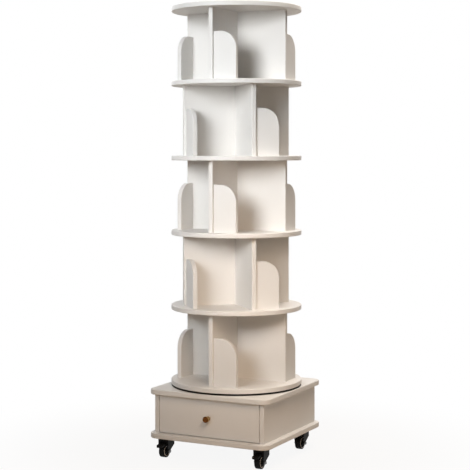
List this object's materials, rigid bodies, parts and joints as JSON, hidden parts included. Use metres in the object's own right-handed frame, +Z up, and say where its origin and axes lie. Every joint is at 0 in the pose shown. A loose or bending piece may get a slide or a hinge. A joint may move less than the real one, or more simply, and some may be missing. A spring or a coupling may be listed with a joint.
{
  "type": "revolving bookcase",
  "caption": "Tall revolving bookcase: round shelves with crossed dividers and low bookends turn on a square base that has a drawer and braked casters.",
  "frame": {"origin": "on the floor, under the axis that the shelves turn about", "axes": "+Z up along the turning axis, -Y towards the drawer's front, +X to the right of it"},
  "size_m": [0.46, 0.464, 1.571],
  "materials": {
    "painted_board": "off-white satin paint on board",
    "drawer_board": "off-white satin paint on board",
    "runner_wood": "bare hardwood",
    "knob_metal": "copper-brown satin",
    "turntable_steel": "zinc-plated",
    "slide_plastic": "bare nylon",
    "caster_metal": "black satin",
    "caster_wheel": "black rubber tread on a plastic centre",
    "axle_steel": "zinc-plated",
    "pedal_plastic": "black moulded"
  },
  "bodies": {
    "base": {"base_bottom": "painted_board", "base_top": "painted_board", "base_left_side": "painted_board", "base_right_side": "painted_board", "base_back": "painted_board", "drawer_left_runner": "runner_wood", "drawer_right_runner": "runner_wood", "turntable_lower_plate": "turntable_steel", "turntable_slide_pads": "slide_plastic", "caster_mounts": "caster_metal"},
    "carousel": {"top_disc": "painted_board", "shelf_disc_1": "painted_board", "long_divider_1": "painted_board", "short_divider_a_1": "painted_board", "short_divider_b_1": "painted_board", "bookends_1": "painted_board", "shelf_disc_2": "painted_board", "long_divider_2": "painted_board", "short_divider_a_2": "painted_board", "short_divider_b_2": "painted_board", "bookends_2": "painted_board", "shelf_disc_3": "painted_board", "long_divider_3": "painted_board", "short_divider_a_3": "painted_board", "short_divider_b_3": "painted_board", "bookends_3": "painted_board", "shelf_disc_4": "painted_board", "long_divider_4": "painted_board", "short_divider_a_4": "painted_board", "short_divider_b_4": "painted_board", "bookends_4": "painted_board", "shelf_disc_5": "painted_board", "long_divider_5": "painted_board", "short_divider_a_5": "painted_board", "short_divider_b_5": "painted_board", "bookends_5": "painted_board", "turntable_upper_plate": "turntable_steel"},
    "drawer": {"drawer_front": "painted_board", "drawer_left_side": "drawer_board", "drawer_right_side": "drawer_board", "drawer_back": "drawer_board", "drawer_bottom": "drawer_board", "drawer_knob": "knob_metal"},
    "caster_front_left": {"caster_fork_front_left": "caster_metal", "caster_axle_front_left": "axle_steel"},
    "wheel_front_left": {"caster_wheel_front_left": "caster_wheel"},
    "caster_front_right": {"caster_fork_front_right": "caster_metal", "caster_axle_front_right": "axle_steel"},
    "wheel_front_right": {"caster_wheel_front_right": "caster_wheel"},
    "caster_back_left": {"caster_fork_back_left": "caster_metal", "caster_axle_back_left": "axle_steel"},
    "wheel_back_left": {"caster_wheel_back_left": "caster_wheel"},
    "caster_back_right": {"caster_fork_back_right": "caster_metal", "caster_axle_back_right": "axle_steel"},
    "wheel_back_right": {"caster_wheel_back_right": "caster_wheel"},
    "pedal_front_left": {"brake_pedal_front_left": "pedal_plastic"},
    "pedal_front_right": {"brake_pedal_front_right": "pedal_plastic"}
  },
  "joints": [
    {"name": "carousel_spin", "type": "hinge", "parent": "base", "child": "carousel", "pos_m": [0, 0, 0.245], "axis": [0, 0, 1], "continuous": true},
    {"name": "drawer_slide", "type": "slide", "parent": "base", "child": "drawer", "axis": [0, -1, 0], "range_m": [0, 0.26]},
    {"name": "caster_swivel_front_left", "type": "hinge", "parent": "base", "child": "caster_front_left", "pos_m": [-0.184, -0.171, 0.067], "axis": [0, 0, 1], "continuous": true},
    {"name": "wheel_spin_front_left", "type": "hinge", "parent": "caster_front_left", "child": "wheel_front_left", "pos_m": [-0.184, -0.189, 0.0225], "axis": [1, 0, 0], "continuous": true},
    {"name": "caster_swivel_front_right", "type": "hinge", "parent": "base", "child": "caster_front_right", "pos_m": [0.184, -0.171, 0.067], "axis": [0, 0, 1], "continuous": true},
    {"name": "wheel_spin_front_right", "type": "hinge", "parent": "caster_front_right", "child": "wheel_front_right", "pos_m": [0.184, -0.189, 0.0225], "axis": [1, 0, 0], "continuous": true},
    {"name": "caster_swivel_back_left", "type": "hinge", "parent": "base", "child": "caster_back_left", "pos_m": [-0.184, 0.1565, 0.067], "axis": [0, 0, 1], "continuous": true},
    {"name": "wheel_spin_back_left", "type": "hinge", "parent": "caster_back_left", "child": "wheel_back_left", "pos_m": [-0.184, 0.1385, 0.0225], "axis": [1, 0, 0], "continuous": true},
    {"name": "caster_swivel_back_right", "type": "hinge", "parent": "base", "child": "caster_back_right", "pos_m": [0.184, 0.1565, 0.067], "axis": [0, 0, 1], "continuous": true},
    {"name": "wheel_spin_back_right", "type": "hinge", "parent": "caster_back_right", "child": "wheel_back_right", "pos_m": [0.184, 0.1385, 0.0225], "axis": [1, 0, 0], "continuous": true},
    {"name": "brake_pedal_front_left", "type": "hinge", "parent": "caster_front_left", "child": "pedal_front_left", "pos_m": [-0.184, -0.189, 0.0494], "axis": [-1, 0, 0], "range_deg": [0, 15]},
    {"name": "brake_pedal_front_right", "type": "hinge", "parent": "caster_front_right", "child": "pedal_front_right", "pos_m": [0.184, -0.189, 0.0494], "axis": [-1, 0, 0], "range_deg": [0, 15]}
  ]
}
